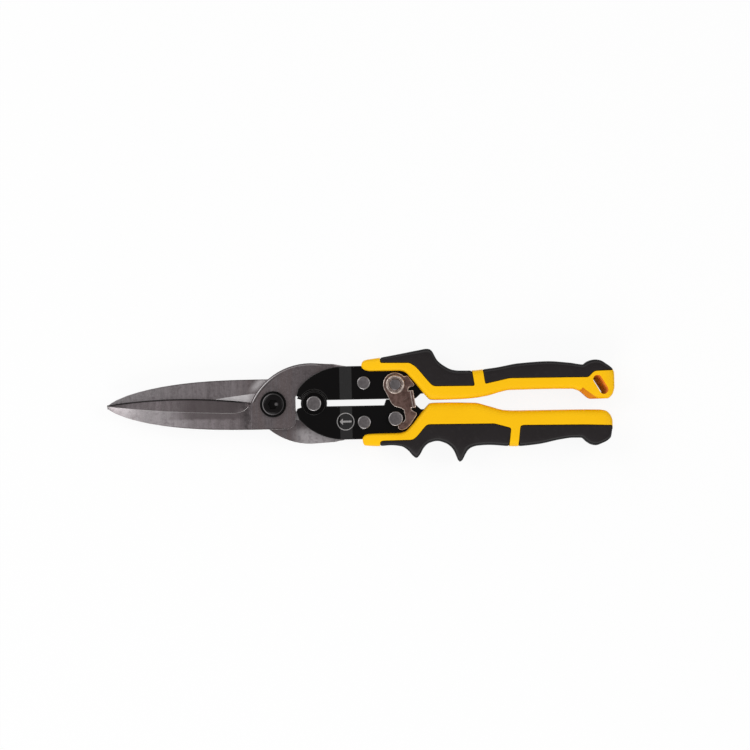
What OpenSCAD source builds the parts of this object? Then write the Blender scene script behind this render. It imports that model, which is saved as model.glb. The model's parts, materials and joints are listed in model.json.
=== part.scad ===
// Compound-action aviation snips, long straight pattern.
// Working frame: pivot bolt at the origin, jaws towards -X, handles towards +X,
// shear plane at z = 0. The whole is then shifted to stand on z = 0, centred.

/* [Blades] */
// Pivot centre to the blade tips
jaw_length = 98; // [82:1:118]
// Pivot centre to the step where a jaw leaves the blade body
jaw_root = 13; // [11:0.5:14]
// Jaw depth from the closing line to the spine
jaw_depth = 14.8; // [12.4:0.1:17.8]
// Lap of the cutting edge past the closing line at its ends
edge_lap = 1.2; // [0.8:0.1:2]
// Further rise of the cutting edge at mid jaw
edge_rise = 2.9; // [2:0.1:3.6]
// Depth of the jaw's ridge below the closing line
ridge_depth = 5.3; // [4:0.1:6.5]
// Blade thickness at the pivot
blade_t = 4.5; // [3.7:0.05:5.4]
// Ridge thickness at the tip
tip_t = 2.6; // [2:0.1:3.2]
// Thickness of the cutting edge
edge_t = 1.2; // [0.8:0.1:1.6]
// Thickness along the spine
spine_t = 2.4; // [1.8:0.1:3]
// Depth of the hollow ground on the inner face
hollow = 0.35; // [0.2:0.05:0.5]
// Radius of the blade body's front arc
body_r = 38.8; // [36:0.1:41]
// Radius of the tail's round end
tail_r = 7; // [6:0.1:7.5]
// Lead of the tail's crank before the channel's joggle, for its turn
crank_lead = 2.6; // [2.2:0.1:3]

/* [Linkage] */
// Pivot bolt to hub rivet
hub_x = 24; // [22:0.5:26]
// Pivot bolt to the tail rivets, along the tool
tail_x = 53.5; // [50:0.5:57]
// Tail rivets from the centre line
tail_y = 11.6; // [10:0.1:12.5]
// Latch rivet and keeper pin, along the tool
latch_x = 72; // [70:0.5:74]
// Latch rivet above the centre line
latch_y = 10.3; // [9.5:0.1:11]
// Keeper pin below the centre line
keeper_y = 9.8; // [9:0.1:10.5]

/* [Handle channels] */
// Sheet thickness
plate_t = 2.2; // [1.8:0.05:2.7]
// Outer edge from the centre line
plate_edge = 21.6; // [20.5:0.1:22.5]
// Half width of the slot between the handles
slot_half = 1.85; // [1.5:0.05:2.3]
// Radius of the front edge's arc
plate_arc_r = 34; // [32:0.5:36]
// Radius of the hub lugs
lug_r = 7.7; // [7:0.1:8.3]
// Start of the joggle
joggle_x = 39.3; // [38:0.1:41]
// Length of the joggle's slope
joggle_run = 7.1; // [6:0.1:8]
// Closing stop behind the latch: start along the tool
stop_x = 65; // [63:0.5:67]
// Length of the closing stop
stop_l = 13; // [10:0.5:14]
// Tang end, along the tool
tang_end = 172; // [150:1:180]

/* [Fasteners] */
// Pivot bolt shank radius
bolt_r = 4; // [3.3:0.1:4.8]
// Pivot bolt head radius
bolt_head_r = 7.7; // [7:0.1:8.5]
// Pivot bolt head height
bolt_head_h = 4; // [3:0.1:5]
// Radius of the bolt's hex socket, over its corners
socket_r = 3.2; // [2.6:0.1:3.4]
// Depth of the hex socket
socket_depth = 2.6; // [2:0.1:3]
// Pivot nut radius, over its corners
nut_r = 7.5; // [6.8:0.1:8]
// Hub rivet shank radius
hub_rivet_r = 3; // [2.5:0.1:3.6]
// Hub rivet head radius
hub_head_r = 4.4; // [4.1:0.1:5]
// Hub washer radius
hub_washer_r = 6.8; // [6:0.1:7.2]
// Hub washer thickness
hub_washer_t = 0.8; // [0.5:0.1:1]
// Spacer tube radius
spacer_r = 4.2; // [4:0.05:4.4]
// Tail rivet shank radius
tail_rivet_r = 2.8; // [2.3:0.1:3.3]
// Tail rivet head radius
tail_head_r = 3.9; // [3.7:0.1:4.4]
// Height of the rivet heads
head_h = 1.4; // [1:0.1:1.8]

/* [Latch] */
// Latch sheet thickness
latch_t = 2; // [1.6:0.1:2.4]
// Radius of the latch's round head
latch_head_r = 7.1; // [6.6:0.1:7.3]
// Turn of the latch from its hooked place, as stored
latch_release = 9; // [8:0.5:11]
// Height of the thumb tab above the latch
tab_h = 4.8; // [3:0.1:6]
// Latch rivet shank radius
latch_rivet_r = 2.6; // [2.2:0.1:2.8]
// Latch washer radius
latch_washer_r = 5.65; // [5:0.05:6]
// Keeper pin shank radius
keeper_r = 2; // [1.7:0.1:2.2]
// Keeper pin head radius
keeper_head_r = 4.3; // [4:0.1:4.6]

/* [Handle spring] */
// Wire diameter
wire_d = 1; // [0.8:0.05:1.05]
// Gap between the coil's turns
coil_gap = 0.45; // [0.42:0.01:0.5]
// Slope of the legs
leg_slope = 17; // [15:0.5:18]
// Length of each leg
leg_l = 15.5; // [12:0.1:16]

/* [Grips] */
// Grip noses, along the tool
nose_x = 53; // [51:0.5:55]
// End of the upper grip
upper_end = 201; // [190:1:236]
// End of the lower grip
lower_end = 199.5; // [190:0.5:236]
// Grip thickness between the flat faces
grip_t = 20; // [18:0.1:24]
// Grip thickness at the noses
nose_t = 13; // [12.6:0.1:14]
// Crown that the flat faces cut away on each side
crown = 0.5; // [0.3:0.1:0.8]
// Thickness of the black pads
pad_t = 2.2; // [1.8:0.1:2.6]
// Spacing of the upper grip's rings along its shaped front
upper_ring_step = 2.9; // [2:0.1:3.5]
// Spacing of the lower grip's rings along its guards
lower_ring_step = 1.66; // [1.4:0.01:1.8]
// Lanyard slot width
lanyard_w = 5; // [4:0.1:5.6]
// Lanyard slot length
lanyard_l = 12.2; // [10:0.1:13]

/* [Fits] */
// Radial running clearance on pins
run_gap = 0.05; // [0.02:0.01:0.1]
// Clearance between sliding flat faces
slide_gap = 0.1; // [0.06:0.01:0.15]
// Radial clearance at the pivot, where the linkage closes
loop_gap = 0.4; // [0.35:0.05:0.5]
// Clearance of pieces that are fixed together
seat_gap = 0.05; // [0.02:0.01:0.1]
// Clearance between latch and channel
latch_gap = 0.2; // [0.15:0.05:0.3]

/* [Hidden] */
$fn = 64;

hub = [hub_x, 0];
tail = [tail_x, tail_y];
latch_at = [latch_x, latch_y];
keeper_at = [latch_x, -keeper_y];

// Levels above the shear plane
blade_gap = slide_gap / 4;
front_wall_z = blade_t + slide_gap;
rear_wall_z = blade_t / 2 + slide_gap;
front_face_z = front_wall_z + plate_t;
rear_face_z = rear_wall_z + plate_t;
lug_z = front_wall_z - seat_gap - plate_t;
latch_z = rear_face_z + latch_gap;
latch_face_z = latch_z + latch_t;
keeper_head_z = latch_face_z + latch_gap;
back_z = -grip_t / 2;

// Radii that follow from the fits
lug_recess_r = lug_r + 0.6;
dish_r = lug_recess_r + plate_t * 0.9;
tail_inner_r = dish_r + 1.3;
heel_x = hub_x - 10.9;
heel_r = 5;
body_at = [jaw_root + 9, jaw_depth - 29.8];
coil_r = spacer_r + 0.5 + wire_d / 2;
joggle_end = joggle_x + joggle_run;
big = 400;

// The box of the whole tool, for the origin
hump_y = 31;
guard_y = 36;
shift = [(jaw_length - upper_end) / 2, (guard_y - hump_y) / 2, -back_z];

// Curves and arcs

function mix(a, b, t) = a + (b - a) * t;

function arc(at, r, from, to, n) =
    [for (i = [0 : n]) let (a = mix(from, to, i / n)) at + r * [cos(a), sin(a)]];

function flip(points) = [for (i = [len(points) - 1 : -1 : 0]) [points[i].x, -points[i].y]];

// A smooth curve y(x) through hand-set points, level at its peaks and dips
function rise(p, i) = (p[i + 1].y - p[i].y) / (p[i + 1].x - p[i].x);
function lean(p, i) =
    i == 0 ? rise(p, 0) : i == len(p) - 1 ? rise(p, i - 1) :
    let (a = rise(p, i - 1), b = rise(p, i)) a * b <= 0 ? 0 : 2 * a * b / (a + b);
function span(p, x, i = 0) = i >= len(p) - 2 || x < p[i + 1].x ? i : span(p, x, i + 1);
function curve(p, x) =
    let (i = span(p, x), w = p[i + 1].x - p[i].x, t = (x - p[i].x) / w)
    (2 * t * t * t - 3 * t * t + 1) * p[i].y + (t * t * t - 2 * t * t + t) * w * lean(p, i)
    + (3 * t * t - 2 * t * t * t) * p[i + 1].y + (t * t * t - t * t) * w * lean(p, i + 1);

// A closed skin over rings of points that have equal counts
module loft(rings) {
    n = len(rings[0]);
    last = len(rings) - 1;
    polyhedron(
        points = [for (ring = rings) each ring],
        faces = [
            [for (k = [0 : n - 1]) k],
            for (s = [0 : last - 1], k = [0 : n - 1])
                let (a = s * n + k, b = s * n + (k + 1) % n)
                each [[a, a + n, b], [b, a + n, b + n]],
            [for (k = [n - 1 : -1 : 0]) last * n + k]
        ]
    );
}

module shifted() translate(shift) children();

module at(p, z = 0) translate([p.x, p.y, z]) children();

// A hole or shank that runs right through
module through(p, r) at(p) cylinder(h = big, r = r, center = true);

// A profile in the XZ plane, run right across the tool
module across(points) rotate([90, 0, 0]) linear_extrude(big, center = true) polygon(points);

module block(z0, z1) translate([0, 0, z0]) linear_extrude(z1 - z0) children();

// Blades

function jaw_x(u) = -mix(jaw_root, jaw_length, u);
function spine_y(u) = -jaw_depth * pow(1 - pow(u, 2.4), 1 / 1.5);
function edge_y(u) = edge_lap + edge_rise * (1 - pow(2 * u - 1, 2));
// The ridge curves up to the cutting edge over the first share of the jaw, and the spine face to the body
ridge_runout = 0.14;
spine_runout = 0.12;
root_t = blade_t - 0.05;
function runout(u, share, order) = pow(max(0, 1 - u / share), order);
function ridge_y(u) =
    mix(edge_lap / 3 - ridge_depth * (1 - u * u), edge_y(0) * 2 / 3, runout(u, ridge_runout, 3));
function ridge_z(u) = mix(blade_t, tip_t, u);
function spine_z(u) = mix(mix(spine_t, edge_t, u), root_t, runout(u, spine_runout, 2));

// Inner edge, land, ridge, spine face, inner spine
function jaw_ring(u) =
    let (x = jaw_x(u))
    [
        [x, edge_y(u), blade_gap],
        [x, edge_y(u), edge_t],
        [x, ridge_y(u), ridge_z(u)],
        [x, spine_y(u), spine_z(u)],
        [x, spine_y(u), blade_gap]
    ];

// The jaw's root runs on a little way inside the body
root_run = 3;
root_in = 0.4;
root_ring = [
    for (p = jaw_ring(0))
        [p.x + root_run, p.y > -1 ? p.y - root_in : p.y + root_in, p.z > 1 ? p.z - root_in : p.z + root_in]
];

jaw_steps = concat(
    [0, 0.01, 0.02, 0.035, 0.05, 0.07, 0.09, 0.115, 0.14],
    [for (u = [0.22 : 0.08 : 0.9]) u], [0.94, 0.97, 0.985, 0.995, 1]
);

module jaw() loft(concat([for (i = [len(jaw_steps) - 1 : -1 : 0]) jaw_ring(jaw_steps[i])], [root_ring]));

// Body and tail of a blade, seen from its outer face
body_outline = concat(
    [[-jaw_root, -jaw_depth]],
    arc([heel_x - heel_r, heel_r - jaw_depth], heel_r, -90, 0, 6),
    arc(hub, tail_inner_r, 160, 82, 8),
    [[tail_x - 13, tail_y - 2]],
    arc(tail, tail_r, 225, 435, 14),
    [[tail_x - 10.5, plate_edge + 0.1], [tail_x - 17, plate_edge + 1.4]],
    arc(body_at, body_r, 84, 155, 14)
);

// The tail is cranked to the middle of its channel
module blade_blank() intersection() {
    linear_extrude(big, center = true) polygon(body_outline);
    across([
        [-jaw_root, blade_gap], [joggle_x, blade_gap], [joggle_end, -blade_t / 2],
        [tail_x + big, -blade_t / 2], [tail_x + big, blade_t / 2], [joggle_end - crank_lead, blade_t / 2],
        [joggle_x - crank_lead, blade_t], [-jaw_root, blade_t]
    ]);
}

// Hollow of the inner face, ending in a slanted run-out by the pivot
hollow_outline = concat(
    [for (u = [0.98 : -0.08 : 0.3]) [jaw_x(u), edge_y(u) - 4]],
    [[jaw_x(0.24), -ridge_depth * 0.7], [-jaw_root - 1, -jaw_depth * 0.43]],
    [[-jaw_root - 1, -jaw_depth - 1], [-jaw_length - 1, -jaw_depth - 1]]
);

// Chamfer of the outer face along the body's front arc
arc_chamfer = 1;
module arc_bevel() intersection() {
    at(body_at, blade_t - 2 * arc_chamfer) difference() {
        cylinder(h = 3 * arc_chamfer, r = body_r + 2 * arc_chamfer);
        cylinder(h = 3 * arc_chamfer, r1 = body_r + arc_chamfer, r2 = body_r - 2 * arc_chamfer);
    }
    translate([-jaw_root - 7, 1.5, 0]) cube([body_at.x + jaw_root + 12, body_r, 2 * blade_t]);
}

module blade(pivot_hole_r) difference() {
    union() {
        jaw();
        blade_blank();
    }
    block(-1, blade_gap + hollow) polygon(hollow_outline);
    arc_bevel();
    through([0, 0], pivot_hole_r);
    through(tail, tail_rivet_r + run_gap);
}

module front_blade() color("dimgray") shifted() blade(bolt_r + run_gap);

module rear_blade() color("gray") shifted() rotate([180, 0, 0]) blade(bolt_r + loop_gap);

// Pivot bolt and nut

module hex(r, h) cylinder(h = h, r = r, $fn = 6);

// A stepped round head with a hex socket, on the front blade
module pivot_bolt() color("black") shifted() difference() {
    head_z = blade_t + seat_gap;
    rim_z = head_z + bolt_head_h * 0.8;
    top_z = head_z + bolt_head_h;
    crown_r = bolt_head_r - 1.2;
    bevel = 0.4;
    rotate_extrude() polygon([
        [0, back_z + seat_gap], [bolt_r, back_z + seat_gap], [bolt_r, head_z], [bolt_head_r, head_z],
        [bolt_head_r, rim_z - bevel], [bolt_head_r - bevel, rim_z], [crown_r + bevel / 2, rim_z],
        [crown_r, rim_z - bevel], [crown_r - bevel / 2, rim_z], [crown_r - 1.6, top_z], [0, top_z]
    ]);
    at([0, 0], top_z - socket_depth) hex(socket_r, big);
}

module pivot_nut() color("black") shifted() difference() {
    nut_h = -back_z - blade_t - slide_gap;
    bevel = 0.9;
    at([0, 0], back_z) intersection() {
        hex(nut_r, nut_h);
        rotate_extrude() polygon([[0, 0], [nut_r - bevel, 0], [nut_r, bevel], [nut_r, nut_h], [0, nut_h]]);
    }
    through([0, 0], bolt_r + seat_gap);
}

// Handle channels

// Tang edges inside the grip, from the walls to the tang's end
tang_top = [[nose_x + 33, plate_edge], [nose_x + 46, 13.5], [nose_x + 67, 13.2], [tang_end, 16.5]];
tang_foot = [[tang_end, 9.5], [nose_x + 82, 8.5], [nose_x + 67, 5.5], [nose_x + 44, 4.6]];

// Plan of a wall of the upper channel
wall_outline = concat(
    [[hub_x - 7, 3.2], [hub_x + 6, slot_half], [nose_x + 31, slot_half], [nose_x + 34, 4.6]],
    [for (i = [len(tang_foot) - 1 : -1 : 0]) tang_foot[i]],
    [for (i = [len(tang_top) - 1 : -1 : 0]) tang_top[i]],
    arc([hub_x + 17.4, plate_edge - plate_arc_r], plate_arc_r, 90, 141, 10),
    [[hub_x - 10.4, 4.6]]
);

// Raised edge of the lower walls that the upper walls close on
stop_outline = [
    [stop_x, -slot_half - 1], [stop_x + stop_l + 1.5, -slot_half - 1], [stop_x + stop_l, slot_half - 0.3],
    [stop_x + 1.5, slot_half - 0.3]
];

// Sheet bent to the joggle, on the front side
module joggled() across([
    [-big, front_wall_z], [joggle_x, front_wall_z], [joggle_end, rear_wall_z], [big, rear_wall_z],
    [big, rear_face_z], [joggle_end, rear_face_z], [joggle_x, front_face_z], [-big, front_face_z]
]);

module both_sides() {
    children();
    mirror([0, 0, 1]) children();
}

// Back of the channel, inside the grip
module spine_web() {
    foot = [for (i = [len(tang_top) - 1 : -1 : 0]) tang_top[i] - [0, plate_t]];
    block(-rear_face_z, rear_face_z)
        polygon(concat([[nose_x + 1.5, plate_edge - plate_t], [nose_x + 1.5, plate_edge]], tang_top, foot));
}

// Lip before the hub that narrows the gap between the handles: at the outer level on the lower walls,
// and on the floor of the dish on the upper ones, so that they pass each other
hub_lip = [[hub_x - 7, 4.6], [hub_x - 7, 2.1], [hub_x - 9.8, 2.95], [hub_x - 10.4, 4.6]];

// The upper walls are dished inwards round the hub to take the lower lugs
module upper_wall() difference() {
    union() {
        intersection() {
            linear_extrude(big, center = true) polygon(wall_outline);
            joggled();
        }
        block(lug_z, front_face_z) intersection() {
            polygon(wall_outline);
            translate(hub) circle(dish_r);
        }
        block(lug_z, lug_z + plate_t) {
            translate(hub) circle(lug_r);
            intersection() {
                polygon(hub_lip);
                translate(hub) circle(dish_r);
            }
        }
    }
    at(hub, lug_z + plate_t) cylinder(h = big, r = lug_recess_r);
}

module lower_wall() intersection() {
    linear_extrude(big, center = true) union() {
        polygon(flip(wall_outline));
        polygon(flip(hub_lip));
        polygon(stop_outline);
        translate(hub) circle(lug_r);
    }
    joggled();
}

module upper_channel() color("black") shifted() difference() {
    union() {
        both_sides() upper_wall();
        spine_web();
    }
    through(hub, hub_rivet_r + run_gap);
    through(tail, tail_rivet_r + seat_gap);
    through(latch_at, latch_rivet_r + seat_gap);
}

module lower_channel() color("black") shifted() difference() {
    union() {
        both_sides() lower_wall();
        mirror([0, 1, 0]) spine_web();
    }
    through(hub, hub_rivet_r + seat_gap);
    through([tail.x, -tail.y], tail_rivet_r + seat_gap);
    through(keeper_at, keeper_r + seat_gap);
}

// Rivets, washers and spacers

// A low pressed head on z = 0, with a rounded rim and a slight crown
module dome(r, h) {
    rim = h * 0.45;
    edge = arc([r - rim, h * 0.9 - rim], rim, 0, 90, 4);
    rotate_extrude() polygon(concat([[0, 0], [r, 0]], edge, [[r * 0.4, h], [0, h]]));
}

// A rivet with a head on each face
module rivet(p, r, head_r, top_z, foot_z) at(p) {
    translate([0, 0, foot_z]) cylinder(h = top_z - foot_z, r = r);
    translate([0, 0, top_z]) dome(head_r, head_h);
    translate([0, 0, foot_z]) mirror([0, 0, 1]) dome(head_r, head_h);
}

module spacer(p, half_l, hole_r) at(p) difference() {
    cylinder(h = 2 * half_l, r = spacer_r, center = true);
    cylinder(h = 3 * half_l, r = hole_r, center = true);
}

module hub_rivet() color("slategray") shifted() {
    z = front_face_z + hub_washer_t + seat_gap;
    rivet(hub, hub_rivet_r, hub_head_r, z, -z);
}

module hub_washers() color("black") shifted() both_sides() at(hub, front_face_z) difference() {
    cylinder(h = hub_washer_t, r = hub_washer_r);
    cylinder(h = big, r = hub_rivet_r + seat_gap, center = true);
}

module hub_spacer() color("slategray") shifted() spacer(hub, lug_z - seat_gap, hub_rivet_r + seat_gap);

module tail_rivet(p) rivet(p, tail_rivet_r, tail_head_r, rear_face_z, -rear_face_z);

module upper_tail_rivet() color("slategray") shifted() tail_rivet(tail);

module lower_tail_rivet() color("slategray") shifted() tail_rivet([tail.x, -tail.y]);

// Handle spring: a torsion coil whose legs press the blade tails apart

// Turns that fit between the lugs, with the part turn that brings the legs about
coil_pitch = wire_d + coil_gap;
coil_room = 2 * (lug_z - seat_gap) - wire_d;
part_turn = (180 - 2 * leg_slope) / 360;
coil_turns = floor(coil_room / coil_pitch - part_turn) + part_turn;
coil_start = 90 + leg_slope;
coil_half = coil_turns * coil_pitch / 2;
rings_per_turn = 8;
coil_steps = ceil(coil_turns * rings_per_turn);

function coil_point(t) =
    let (a = coil_start + 360 * t)
    [hub_x + coil_r * cos(a), coil_r * sin(a), coil_half - t * coil_pitch];
function leg_point(t, side) = coil_point(t) + leg_l * [cos(leg_slope), side * sin(leg_slope), 0];
spring_path = concat(
    [leg_point(0, 1)],
    [for (i = [0 : coil_steps]) coil_point(coil_turns * i / coil_steps)],
    [leg_point(coil_turns, -1)]
);

function unit(v) = v / norm(v);
function heading(p, i) = unit(p[min(i + 1, len(p) - 1)] - p[max(i - 1, 0)]);
function wire_ring(p, i) =
    let (d = heading(p, i), across = unit(cross([0, 0, 1], d)), up = cross(d, across))
    [for (k = [0 : 5]) p[i] + wire_d / 2 * (cos(60 * k) * across + sin(60 * k) * up)];

// Least gap of the wire to itself, on close points at least half a turn apart
gap_step = 1 / 24;
function turn_gap() = min([
    for (a = [0 : gap_step : coil_turns], b = [a + 0.5 : gap_step : coil_turns])
        norm(coil_point(a) - coil_point(b)) - wire_d
]);

module handle_spring() color("silver") shifted() {
    echo(least_gap_of_spring = turn_gap());
    loft([for (i = [0 : len(spring_path) - 1]) wire_ring(spring_path, i)]);
}

// Latch, in its hooked place

tab_x = latch_x + 7.8;
tab_y = [-5.1, 5.3];
notch_r = keeper_r + 0.5;

latch_outline = concat(
    [latch_at + [11.2, -1.8], latch_at + [8.2, 3.9]],
    arc(latch_at, latch_head_r, 32, 205, 16),
    [
        latch_at + [-5.3, -6.6], latch_at + [-4.2, -10.5], latch_at + [-2.7, -12.6],
        keeper_at + [1.1, 5.6], keeper_at + [2.4, 4.4]
    ],
    arc(keeper_at, notch_r, 5, -115, 8),
    [
        keeper_at + [-2.3, -3.6], keeper_at + [-2.9, -5.2], keeper_at + [-2.3, -6.4],
        keeper_at + [-0.6, -7.2], keeper_at + [2.1, -6.7], keeper_at + [4.9, -4.7],
        keeper_at + [9.5, 0.2], keeper_at + [9.5, 1.7], keeper_at + [8, 2.7], keeper_at + [7, 3.9]
    ],
    [
        [tab_x - 0.8, tab_y[0]], [tab_x, tab_y[0]], [tab_x, tab_y[1]], [tab_x - 0.8, tab_y[1]],
        latch_at + [7.1, -4.3], latch_at + [7.7, -3.2], latch_at + [10.9, -2.8]
    ]
);

// Thumb tab, bent up from the latch's edge
tab_section = concat(
    [[tab_x - 2, 0]],
    arc([tab_x - 0.5, latch_t + 0.5], latch_t + 0.5, -90, 0, 6),
    [[tab_x + latch_t, latch_t + tab_h], [tab_x, latch_t + tab_h]],
    arc([tab_x - 0.5, latch_t + 0.5], 0.5, 0, -90, 3),
    [[tab_x - 2, latch_t]]
);

module latch() color("saddlebrown") shifted()
    at(latch_at, latch_z) rotate(latch_release) translate(-latch_at) difference() {
        union() {
            linear_extrude(latch_t) polygon(latch_outline);
            translate([0, tab_y[1], 0]) rotate([90, 0, 0])
                linear_extrude(tab_y[1] - tab_y[0]) polygon(tab_section);
        }
        through(latch_at, latch_rivet_r + run_gap);
    }

// Dished: a raised rim round a lower seat for the rivet head
washer_seat = 0.7;
washer_h = 2 * washer_seat;
module latch_washer() color("tan") shifted() at(latch_at, latch_face_z + seat_gap) rotate_extrude() polygon([
    [latch_rivet_r + seat_gap, 0], [latch_washer_r, 0], [latch_washer_r, washer_h - 0.5],
    [latch_washer_r - 0.5, washer_h], [latch_washer_r - 1.1, washer_h], [latch_washer_r - 1.7, washer_seat],
    [latch_rivet_r + seat_gap, washer_seat]
]);

module latch_rivet() color("slategray") shifted() at(latch_at) {
    top_z = latch_face_z + washer_seat + 2 * seat_gap;
    translate([0, 0, -rear_face_z]) cylinder(h = top_z + rear_face_z, r = latch_rivet_r);
    translate([0, 0, top_z]) dome(latch_rivet_r + washer_seat, head_h * 0.65);
    translate([0, 0, -rear_face_z]) mirror([0, 0, 1]) dome(tail_head_r, head_h);
}

module latch_spacer() color("slategray") shifted()
    spacer(latch_at, rear_wall_z - seat_gap, latch_rivet_r + seat_gap);

module keeper_pin() color("slategray") shifted() at(keeper_at) {
    translate([0, 0, -rear_face_z]) cylinder(h = keeper_head_z + rear_face_z, r = keeper_r);
    translate([0, 0, keeper_head_z]) dome(keeper_head_r, head_h);
    translate([0, 0, -rear_face_z]) mirror([0, 0, 1]) dome(tail_head_r, head_h);
}

module keeper_spacer() color("slategray") shifted()
    spacer(keeper_at, rear_wall_z - seat_gap, keeper_r + seat_gap);

// Grips: outlines are set from the nose, n(), and from the grip's end, e()

nose_tip = 0.7;
function n(d, y) = [nose_x + d, y];
function upper_e(d, y) = [upper_end - d, y];
function lower_e(d, y) = [lower_end - d, y];

upper_top = [
    n(-nose_tip, 22.3), n(0, 24.1), n(1.7, 25), n(10, 26.2), n(24, 28.6), n(34, 30.4), n(38, hump_y),
    n(39.9, 30.6), n(41.5, 29), n(42.9, 26.1), n(44.3, 23.9), n(47.7, 21), n(52.8, 18.4), n(57.3, 17.8),
    n(64.6, 17.7), n(78, 19), n(92, 21.4),
    upper_e(39, 22.3), upper_e(26, 21.2), upper_e(17.7, 20), upper_e(16.6, 21.1), upper_e(13.6, 22.4),
    upper_e(11, 22.8), upper_e(8.1, 22.4), upper_e(4.3, 20.2), upper_e(1, 17.5), upper_e(0, 15.5)
];
upper_foot = [
    n(-nose_tip, 21.2), n(0.2, 19.7), n(1.7, 18.9), n(4, 18.4), n(22, 18.3), n(25, 17.4), n(28, 14.3),
    n(37, 3.2), n(39.5, 0.9),
    n(43, 0.7), n(56, 0.9), n(63, 1.3), n(72, 2.6), n(81, 4.8), n(86, 5.7),
    upper_e(39, 5.9), upper_e(25, 5.7), upper_e(21, 4.6), upper_e(14, -0.4), upper_e(4, -0.3),
    upper_e(1, 2.4), upper_e(0, 5.5)
];
lower_top = [
    n(-nose_tip, -21), n(-0.2, -20), n(0.5, -19.2), n(2.5, -18.6), n(7, -18.4), n(21, -18.3),
    n(24.5, -17.4), n(28, -14.2), n(36.5, -3.8),
    n(39.5, -1.1), n(43, -0.9), n(66, -1.4), n(73, -3.2), n(83, -6.1), n(88, -6.4),
    lower_e(24, -6.5), lower_e(7, -6.8), lower_e(3.5, -7.5), lower_e(1, -10), lower_e(0, -12.5)
];
lower_foot = [
    n(-nose_tip, -22.6), n(-0.4, -23.9), n(0.1, -25), n(0.8, -25.4), n(3, -25.6), n(8, -25.9),
    n(16, -25.5), n(22, -26.2), n(26.3, -29), n(28.5, -31.7),
    n(30.8, -33.3), n(33, -31.3), n(35.2, -27.4), n(38.4, -24.6), n(43.2, -23.5), n(48.2, -24.9),
    n(51.8, -27.7), n(54, -31.5), n(55, -34.5),
    n(56.3, -guard_y), n(57.9, -35), n(59.1, -32.8), n(60.8, -29.8), n(63.1, -27.8), n(67, -26.7),
    n(73, -26.4), n(91, -27.5),
    lower_e(44.5, -26.6), lower_e(30.5, -23.9), lower_e(23.6, -23.1), lower_e(18.4, -23.2),
    lower_e(15.4, -25.6), lower_e(12.6, -27.3), lower_e(9.9, -27.8), lower_e(6.6, -26.8),
    lower_e(1.1, -23.4), lower_e(0, -18.5)
];

function half_t(end, x) = curve([
    [nose_x - nose_tip, nose_t / 2 - 1.5], [nose_x + 3, nose_t / 2], [nose_x + 22, grip_t / 2 + crown],
    [end - 6, grip_t / 2 + crown], [end - 1, grip_t / 2 - 0.8], [end, grip_t / 2 - 2.5]
], x);

// A rounded section whose sides are nearly flat, plainer where pads cover it
function grip_ring(top, foot, end, x, inset) =
    let (y1 = curve(top, x) - inset, y0 = curve(foot, x) + inset, b = half_t(end, x) - inset)
    let (sides = inset == 0 ? 16 : 8)
    [for (k = [0 : sides - 1]) let (c = cos(360 * k / sides), s = sin(360 * k / sides))
        [x, (y0 + y1) / 2 + sign(c) * sqrt(abs(c)) * (y1 - y0) / 2, sign(s) * sqrt(abs(s)) * b]];

// Places of the rings: close at the nose, the shaped front and the end
function grip_steps(end, front_step) = concat(
    [nose_x - nose_tip, nose_x - 0.3, nose_x + 0.3, nose_x + 1.5, nose_x + 4],
    [for (x = [nose_x + 6.5 : front_step : nose_x + 66]) x],
    [for (x = [nose_x + 70 : 5 : end - 30]) x],
    [for (d = [24, 21, 18.5, 16, 14, 11.5, 9, 6, 4, 2.5, 1, 0]) end - d]
);

module grip_form(top, foot, end, front_step, inset = 0) {
    steps = [
        for (x = grip_steps(end, inset == 0 ? front_step : 2 * front_step))
            if (inset == 0 || (x > nose_x + 6 && x < end - inset)) x
    ];
    intersection() {
        loft([for (x = steps) grip_ring(top, foot, end, x, inset)]);
        cube([big * 2, big, grip_t - 2 * inset], center = true);
    }
}

module upper_form(inset = 0) grip_form(upper_top, upper_foot, upper_end, upper_ring_step, inset);

module lower_form(inset = 0) grip_form(lower_top, lower_foot, lower_end, lower_ring_step, inset);

// Plan areas of the pads
far_y = 60;
upper_front_zone = [
    n(58.1, far_y), n(10.4, far_y), n(10.4, 23.5), n(27.8, 23.2), n(31.4, 20.9), n(40.1, 10.4),
    n(41.8, 9.3), n(65.7, 9.1)
];
upper_rear_zone = [
    upper_e(-9, far_y), n(64.1, far_y), n(71.9, 9.7), n(86.5, 13.2), upper_e(14.9, 12.8),
    upper_e(13.6, 14.5), upper_e(11.4, 16.1), upper_e(-9, 16.4)
];
lower_front_zone = [
    n(9.6, -far_y), n(81.7, -far_y), n(86.7, -16.4), n(77, -13.6), n(38, -13.3), n(36.8, -13.9),
    n(30.9, -21), n(28.6, -22.3), n(11.2, -22.5), n(9.6, -23)
];
lower_rear_zone = [n(87.1, -far_y), lower_e(-9, -far_y), lower_e(-9, -16), n(93.2, -15.4), n(92.1, -16.2)];

module zone(points) linear_extrude(big, center = true) offset(delta = -seat_gap) polygon(points);

// Hollow in a grip core that takes the channel
module tang_pocket()
    block(-rear_face_z - seat_gap, rear_face_z + seat_gap) offset(delta = seat_gap) polygon(wall_outline);

// A slanted slot through the end lobe, tilted out of square
lanyard_at = [upper_end - 8, 8.1];
lanyard_slant = -59;
lanyard_tilt = -11;
module lanyard_slot() {
    run = lanyard_l - lanyard_w;
    at(lanyard_at, grip_t / 2) rotate(lanyard_slant) rotate([lanyard_tilt, 0, 0])
        linear_extrude(big, center = true) {
            square([run, lanyard_w], center = true);
            for (s = [-1, 1]) translate([s * run / 2, 0]) circle(lanyard_w / 2);
        }
}

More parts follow.
